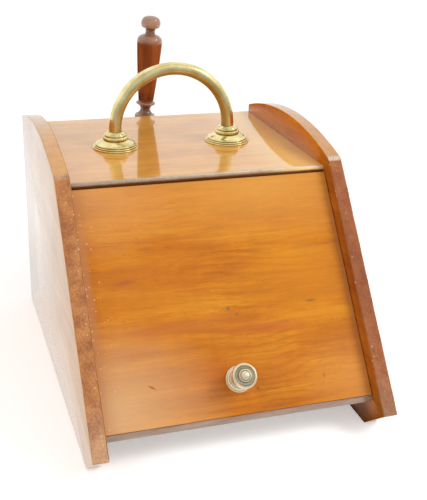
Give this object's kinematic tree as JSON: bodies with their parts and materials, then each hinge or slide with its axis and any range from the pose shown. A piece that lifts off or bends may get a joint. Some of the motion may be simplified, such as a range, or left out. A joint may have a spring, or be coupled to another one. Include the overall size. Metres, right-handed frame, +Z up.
{
  "type": "coal scuttle",
  "caption": "Slope-front mahogany coal box with a hinged front flap, arched brass carrying handle, steel liner and a lift-out shovel on the back.",
  "frame": {"origin": "on the floor, under the middle of the box that the whole object fills, shovel included", "axes": "+Z up, -Y out of the sloping front, +X to the right of someone who looks at the front"},
  "size_m": [0.35, 0.5154, 0.4053],
  "materials": {
    "side_boards": "French-polished mahogany, reddish brown",
    "show_panels": "French-polished mahogany, faded to orange brown",
    "inner_wood": "mahogany, waxed",
    "grip_wood": "turned mahogany, dark and polished",
    "glue_wood": "planed softwood, unpolished",
    "handle_brass": "polished",
    "back_brass": "dulled sheet brass",
    "knob_brass": "aged",
    "pin_steel": "plain drawn",
    "liner_steel": "black japanned sheet steel"
  },
  "bodies": {
    "carcass": {"side_board_left": "side_boards", "side_board_right": "side_boards", "top_board": "show_panels", "bottom_board": "inner_wood", "back_board": "inner_wood", "flap_stop_left": "inner_wood", "flap_stop_right": "inner_wood", "top_block_left_front": "glue_wood", "top_block_left_rear": "glue_wood", "top_block_right_front": "glue_wood", "top_block_right_rear": "glue_wood", "bottom_block_left_front": "glue_wood", "bottom_block_left_rear": "glue_wood", "bottom_block_right_front": "glue_wood", "bottom_block_right_rear": "glue_wood", "handle_arch": "handle_brass", "handle_rosette_left": "handle_brass", "handle_rosette_right": "handle_brass", "handle_stud_left": "handle_brass", "handle_stud_right": "handle_brass", "handle_washer_left": "handle_brass", "handle_washer_right": "handle_brass", "handle_nut_left": "handle_brass", "handle_nut_right": "handle_brass", "shovel_keeper": "back_brass", "shovel_ledge": "back_brass", "keeper_screw_left_lower": "back_brass", "keeper_screw_left_upper": "back_brass", "keeper_screw_right_lower": "back_brass", "keeper_screw_right_upper": "back_brass", "ledge_screw_left": "back_brass", "ledge_screw_right": "back_brass", "pivot_pin_left": "pin_steel", "pivot_pin_right": "pin_steel", "liner_floor": "liner_steel", "liner_back": "liner_steel", "liner_lip": "liner_steel", "liner_side_left": "liner_steel", "liner_side_right": "liner_steel"},
    "flap": {"front_flap": "show_panels", "pivot_bush_left": "knob_brass", "pivot_bush_right": "knob_brass", "knob_rose": "knob_brass", "flap_knob": "knob_brass", "knob_bolt": "knob_brass", "knob_washer": "knob_brass", "knob_nut": "knob_brass"},
    "shovel": {"shovel_pan": "back_brass", "shovel_shank": "back_brass", "shovel_ferrule": "back_brass", "shovel_grip": "grip_wood"}
  },
  "joints": [
    {"name": "flap_hinge", "type": "hinge", "parent": "carcass", "child": "flap", "pos_m": [0, -0.05533, 0.25118], "axis": [-1, 0, 0], "range_deg": [0, 110]},
    {"name": "shovel_lift", "type": "slide", "parent": "carcass", "child": "shovel", "axis": [0.0645, 0, 0.9979], "range_m": [0, 0.13]}
  ]
}
